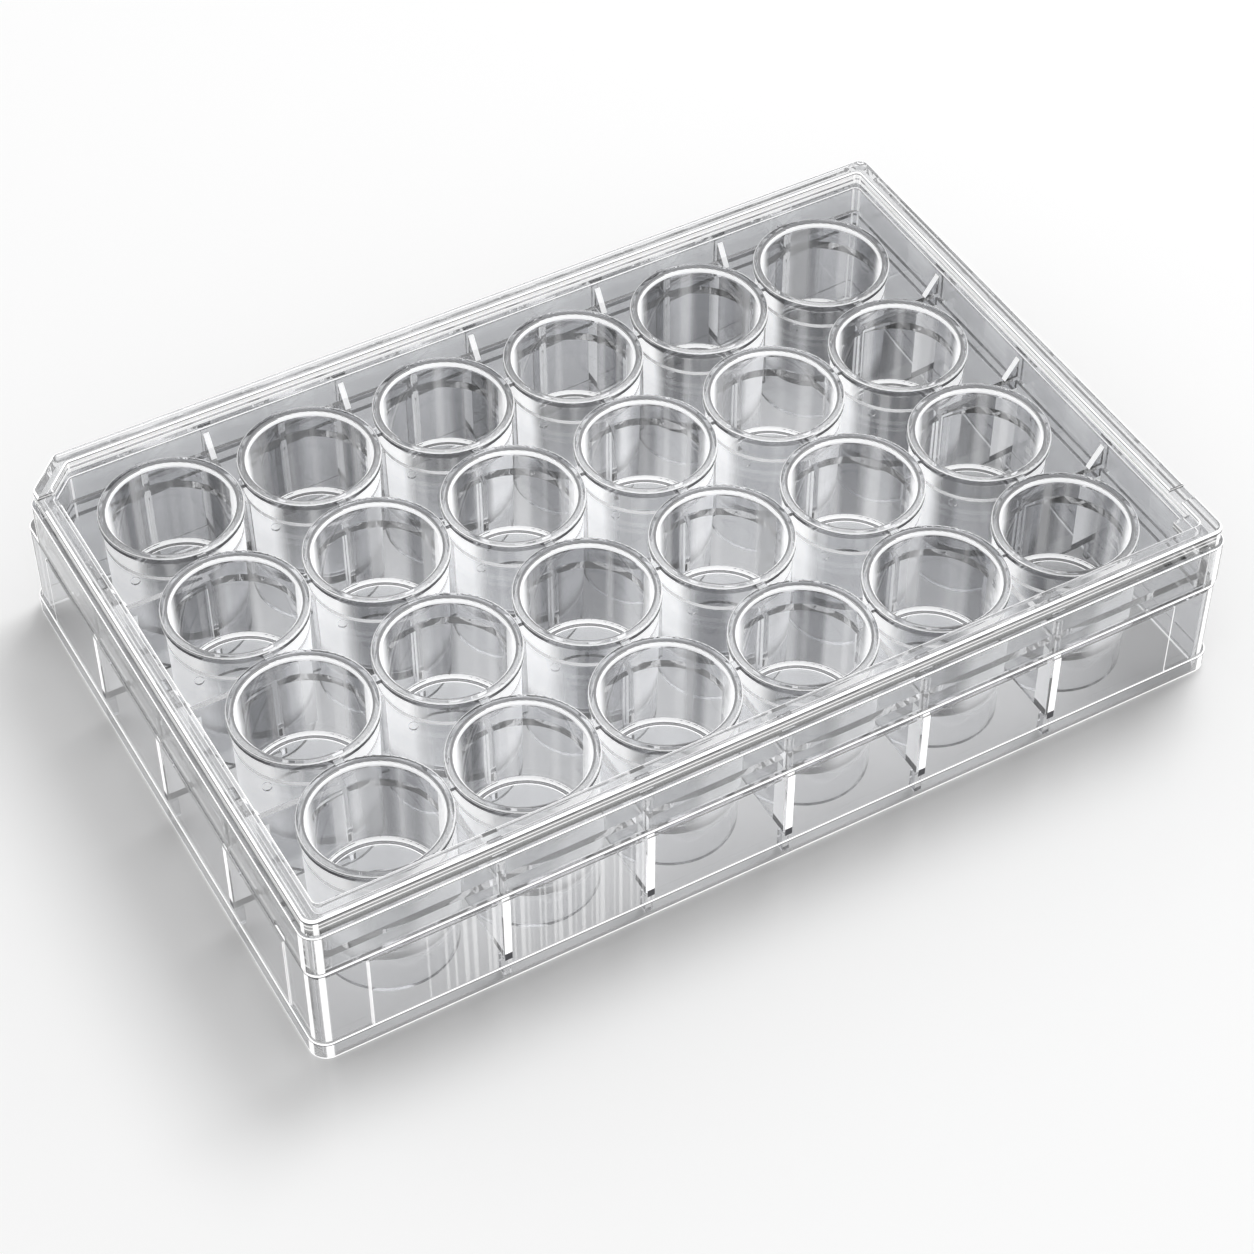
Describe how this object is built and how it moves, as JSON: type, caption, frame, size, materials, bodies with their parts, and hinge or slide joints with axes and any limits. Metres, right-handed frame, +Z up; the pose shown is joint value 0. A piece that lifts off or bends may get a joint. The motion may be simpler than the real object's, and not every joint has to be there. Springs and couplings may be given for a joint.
{
  "type": "multiwell culture plate with lid",
  "caption": "Clear rectangular culture plate with a grid of round flat-bottomed wells on a skirted base, under a loose clear lid with a raised edge bead and one cut corner.",
  "frame": {"origin": "centre of the footprint, on the bench under the plate", "axes": "+X along the long side from column 1 to column 6, +Y towards row A, +Z up out of the wells"},
  "size_m": [0.1278, 0.0854, 0.025],
  "materials": {
    "clear_plate": "clear colourless polystyrene, polished mould finish",
    "clear_lid": "clear colourless polystyrene, polished mould finish"
  },
  "bodies": {
    "root": {"plate": "clear_plate", "lid": "clear_lid"}
  },
  "joints": []
}
